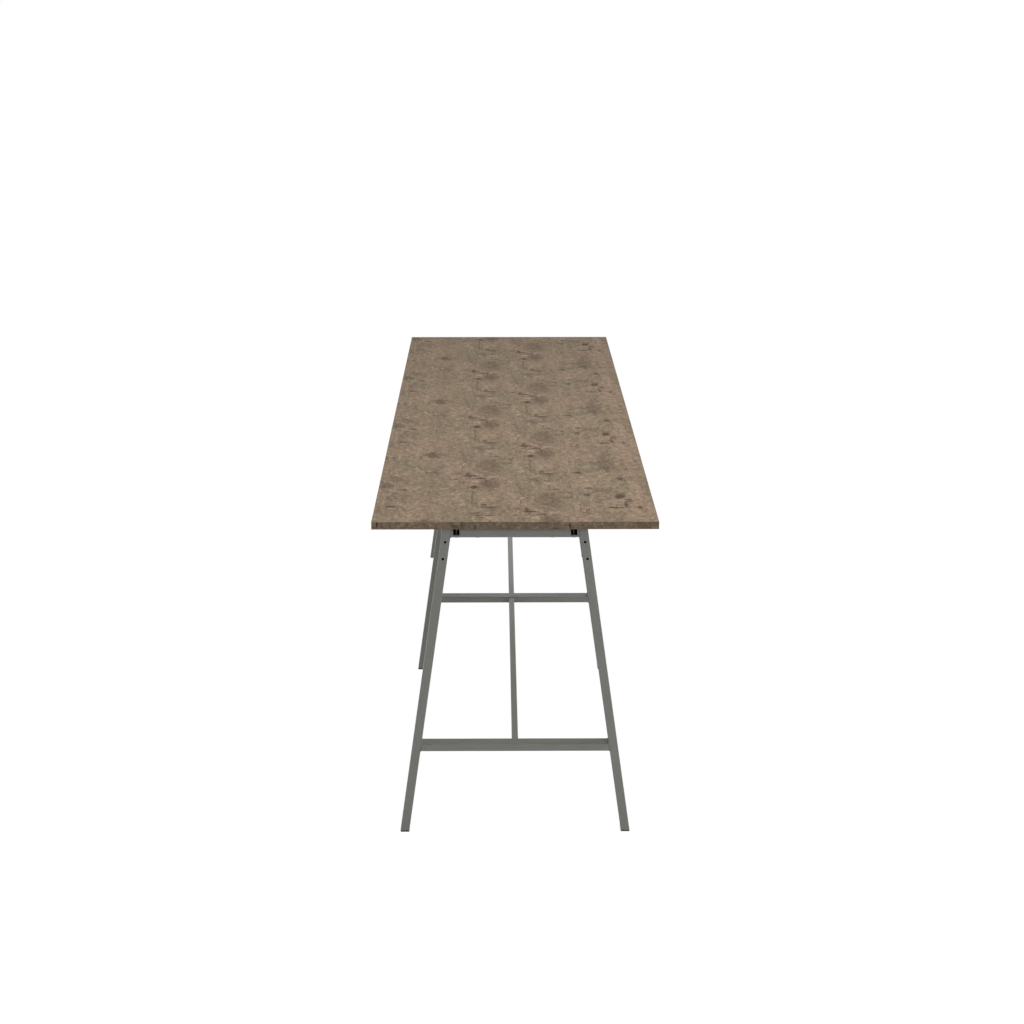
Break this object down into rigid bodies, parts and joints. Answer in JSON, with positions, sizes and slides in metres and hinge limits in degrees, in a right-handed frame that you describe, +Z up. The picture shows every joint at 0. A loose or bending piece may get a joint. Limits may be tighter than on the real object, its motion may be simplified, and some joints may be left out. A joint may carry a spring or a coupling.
{
  "type": "standing height bench table",
  "caption": "Long standing-height table with a plain board top on A-shaped tube frames with foot rests, joined by low stringers, with levelling feet.",
  "frame": {"origin": "on the floor under the middle of the top", "axes": "+Z up, +Y along the table, +X to the right of someone who looks along +Y from the front short end"},
  "size_m": [0.95, 3.6, 1.1],
  "materials": {
    "board_decor": "greyish brown rustic oak laminate, matt",
    "board_core": "raw chipboard",
    "frame_paint": "olive grey powder coat, fine texture, satin",
    "black_plastic": "moulded black plastic",
    "black_rubber": "soft black pad",
    "zinc_steel": "zinc plated steel"
  },
  "bodies": {
    "table": {"beam_screws": "zinc_steel", "foot_inserts": "zinc_steel", "foot_rail_nuts": "zinc_steel", "foot_rail_screws": "zinc_steel", "foot_rail_washers": "zinc_steel", "front_edge_band": "board_decor", "front_foot_rail": "frame_paint", "front_left_foot_shoe": "black_plastic", "front_left_leg": "frame_paint", "front_right_foot_shoe": "black_plastic", "front_right_leg": "frame_paint", "front_stringer": "frame_paint", "front_top_rail": "frame_paint", "left_beam": "frame_paint", "left_edge_band": "board_decor", "middle_foot_rail": "frame_paint", "middle_left_foot_shoe": "black_plastic", "middle_left_leg": "frame_paint", "middle_right_foot_shoe": "black_plastic", "middle_right_leg": "frame_paint", "middle_top_rail": "frame_paint", "rail_screws": "zinc_steel", "rear_edge_band": "board_decor", "rear_foot_rail": "frame_paint", "rear_left_foot_shoe": "black_plastic", "rear_left_leg": "frame_paint", "rear_right_foot_shoe": "black_plastic", "rear_right_leg": "frame_paint", "rear_stringer": "frame_paint", "rear_top_rail": "frame_paint", "right_beam": "frame_paint", "right_edge_band": "board_decor", "spacer_pads": "black_rubber", "tabletop_core": "board_core", "tabletop_laminate": "board_decor", "threaded_inserts": "zinc_steel", "tongue_packing_ring": "zinc_steel", "top_washers": "zinc_steel", "underside_laminate": "board_decor"},
    "front_left_glide": {"front_left_foot_glide": "black_plastic"},
    "front_left_stem": {"front_left_foot_stem": "zinc_steel"},
    "front_right_glide": {"front_right_foot_glide": "black_plastic"},
    "front_right_stem": {"front_right_foot_stem": "zinc_steel"},
    "middle_left_glide": {"middle_left_foot_glide": "black_plastic"},
    "middle_left_stem": {"middle_left_foot_stem": "zinc_steel"},
    "middle_right_glide": {"middle_right_foot_glide": "black_plastic"},
    "middle_right_stem": {"middle_right_foot_stem": "zinc_steel"},
    "rear_left_glide": {"rear_left_foot_glide": "black_plastic"},
    "rear_left_stem": {"rear_left_foot_stem": "zinc_steel"},
    "rear_right_glide": {"rear_right_foot_glide": "black_plastic"},
    "rear_right_stem": {"rear_right_foot_stem": "zinc_steel"}
  },
  "joints": [
    {"name": "front_left_travel", "type": "slide", "parent": "table", "child": "front_left_glide", "axis": [0, 0, -1], "range_m": [0, 0.015]},
    {"name": "front_left_turn", "type": "hinge", "parent": "front_left_glide", "child": "front_left_stem", "pos_m": [-0.37729, -1.755, 0.0018], "axis": [0, 0, -1], "range_deg": [0, 3600]},
    {"name": "front_right_travel", "type": "slide", "parent": "table", "child": "front_right_glide", "axis": [0, 0, -1], "range_m": [0, 0.015]},
    {"name": "front_right_turn", "type": "hinge", "parent": "front_right_glide", "child": "front_right_stem", "pos_m": [0.37729, -1.755, 0.0018], "axis": [0, 0, -1], "range_deg": [0, 3600]},
    {"name": "middle_left_travel", "type": "slide", "parent": "table", "child": "middle_left_glide", "axis": [0, 0, -1], "range_m": [0, 0.015]},
    {"name": "middle_left_turn", "type": "hinge", "parent": "middle_left_glide", "child": "middle_left_stem", "pos_m": [-0.37729, 0, 0.0018], "axis": [0, 0, -1], "range_deg": [0, 3600]},
    {"name": "middle_right_travel", "type": "slide", "parent": "table", "child": "middle_right_glide", "axis": [0, 0, -1], "range_m": [0, 0.015]},
    {"name": "middle_right_turn", "type": "hinge", "parent": "middle_right_glide", "child": "middle_right_stem", "pos_m": [0.37729, 0, 0.0018], "axis": [0, 0, -1], "range_deg": [0, 3600]},
    {"name": "rear_left_travel", "type": "slide", "parent": "table", "child": "rear_left_glide", "axis": [0, 0, -1], "range_m": [0, 0.015]},
    {"name": "rear_left_turn", "type": "hinge", "parent": "rear_left_glide", "child": "rear_left_stem", "pos_m": [-0.37729, 1.755, 0.0018], "axis": [0, 0, -1], "range_deg": [0, 3600]},
    {"name": "rear_right_travel", "type": "slide", "parent": "table", "child": "rear_right_glide", "axis": [0, 0, -1], "range_m": [0, 0.015]},
    {"name": "rear_right_turn", "type": "hinge", "parent": "rear_right_glide", "child": "rear_right_stem", "pos_m": [0.37729, 1.755, 0.0018], "axis": [0, 0, -1], "range_deg": [0, 3600]}
  ],
  "couplings": [
    {"joint": "front_left_turn", "follows": "front_left_travel", "rad_per_m": 4188.8},
    {"joint": "front_right_turn", "follows": "front_right_travel", "rad_per_m": 4188.8},
    {"joint": "middle_left_turn", "follows": "middle_left_travel", "rad_per_m": 4188.8},
    {"joint": "middle_right_turn", "follows": "middle_right_travel", "rad_per_m": 4188.8},
    {"joint": "rear_left_turn", "follows": "rear_left_travel", "rad_per_m": 4188.8},
    {"joint": "rear_right_turn", "follows": "rear_right_travel", "rad_per_m": 4188.8}
  ]
}
